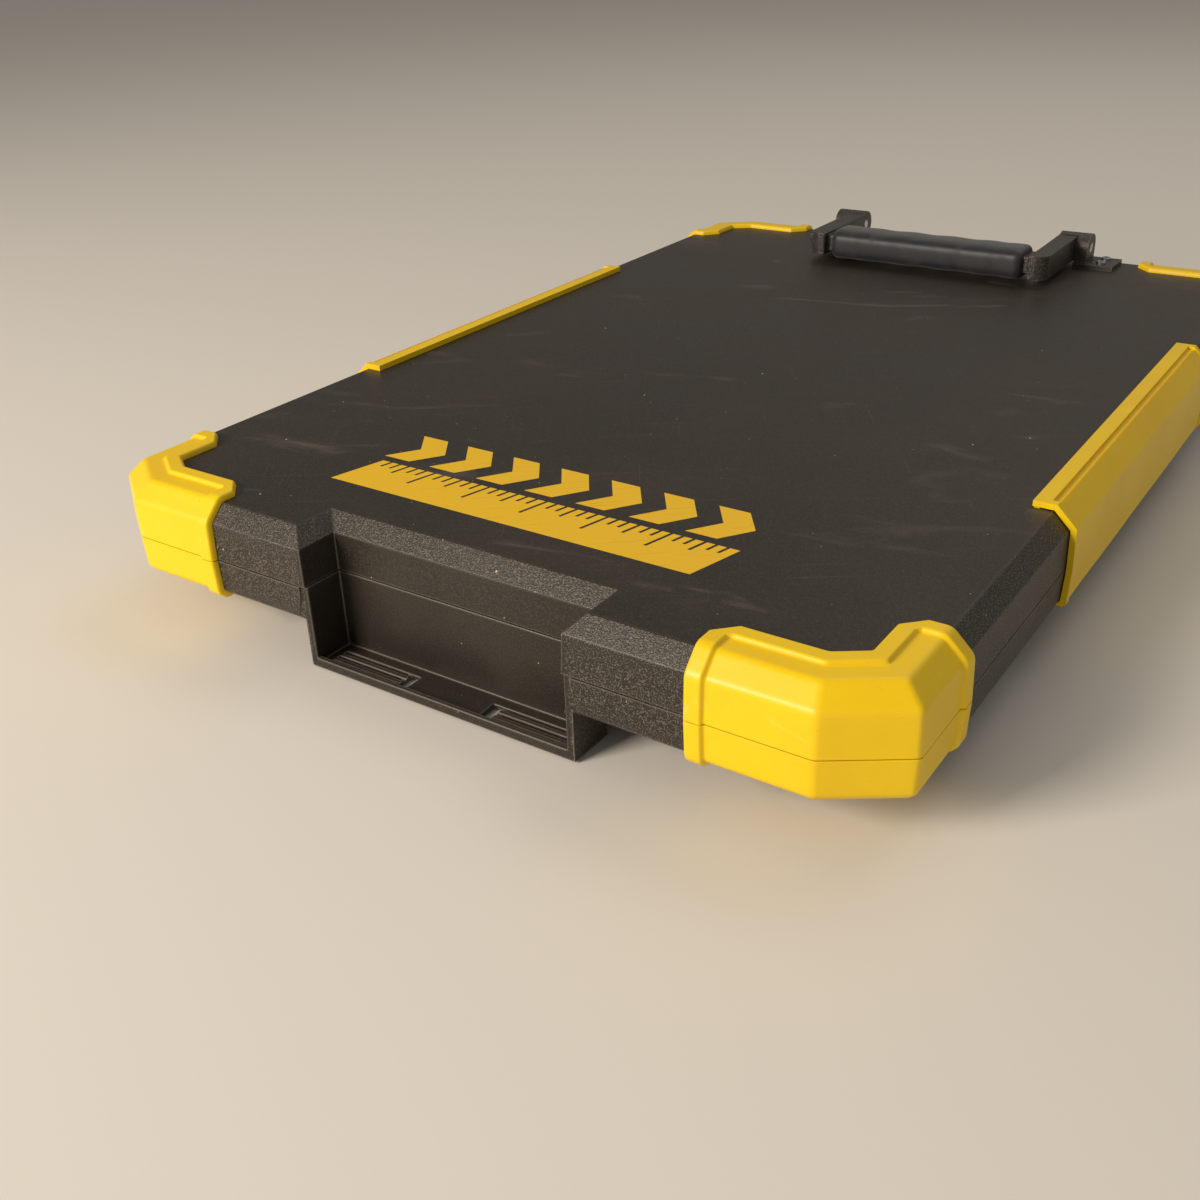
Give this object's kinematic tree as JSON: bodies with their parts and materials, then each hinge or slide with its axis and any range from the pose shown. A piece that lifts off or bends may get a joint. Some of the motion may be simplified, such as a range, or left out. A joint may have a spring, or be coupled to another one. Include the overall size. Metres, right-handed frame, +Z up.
{
  "type": "carpenter toolbox",
  "caption": "Flat carpenter's tool case with side-hinged lid, corner bumpers, wrap-over latch bar, folding end handle and hand recesses.",
  "frame": {"origin": "on the floor under the middle of the case", "axes": "+X to the latch side, +Y from the near short end to the handle end, +Z up through the lid"},
  "size_m": [0.4094, 0.606, 0.0868],
  "materials": {
    "black_shell_plastic": "fine spark-textured polypropylene",
    "yellow_guard_plastic": "satin moulded polypropylene",
    "zinc_plated_steel": "zinc plated",
    "black_rubber": "matt",
    "grey_divider_plastic": "matt",
    "soft_grip_rubber": "satin soft-touch"
  },
  "bodies": {
    "base": {"base_shell": "black_shell_plastic", "lid_seal": "black_rubber", "hinge_guard_lower": "yellow_guard_plastic", "hinge_pin": "zinc_plated_steel", "latch_pin": "zinc_plated_steel", "rubber_feet": "black_rubber", "long_divider": "grey_divider_plastic", "cross_divider_near": "grey_divider_plastic", "cross_divider_far": "grey_divider_plastic", "base_screws": "zinc_plated_steel", "lower_bumper_near_right": "yellow_guard_plastic", "lower_bumper_near_left": "yellow_guard_plastic", "lower_bumper_far_right": "yellow_guard_plastic", "lower_bumper_far_left": "yellow_guard_plastic"},
    "lid": {"lid_shell": "black_shell_plastic", "hinge_guard_upper": "yellow_guard_plastic", "lid_screws": "zinc_plated_steel", "handle_bracket_right": "black_shell_plastic", "handle_bracket_left": "black_shell_plastic", "bracket_screws": "zinc_plated_steel", "handle_pin_right": "zinc_plated_steel", "handle_pin_left": "zinc_plated_steel", "upper_bumper_near_right": "yellow_guard_plastic", "upper_bumper_near_left": "yellow_guard_plastic", "upper_bumper_far_right": "yellow_guard_plastic", "upper_bumper_far_left": "yellow_guard_plastic"},
    "latch": {"latch_bar": "yellow_guard_plastic"},
    "handle": {"handle_frame": "black_shell_plastic", "handle_grip": "soft_grip_rubber"}
  },
  "joints": [
    {"name": "lid_hinge", "type": "hinge", "parent": "base", "child": "lid", "pos_m": [-0.2034, 0, 0.0403], "axis": [0, -1, 0], "range_deg": [0, 105]},
    {"name": "latch_pivot", "type": "hinge", "parent": "base", "child": "latch", "pos_m": [0.1972, 0, 0.0261], "axis": [0, 1, 0], "range_deg": [0, 75]},
    {"name": "handle_pivot", "type": "hinge", "parent": "lid", "child": "handle", "pos_m": [0, 0.278, 0.0768], "axis": [-1, 0, 0], "range_deg": [0, 180]}
  ]
}
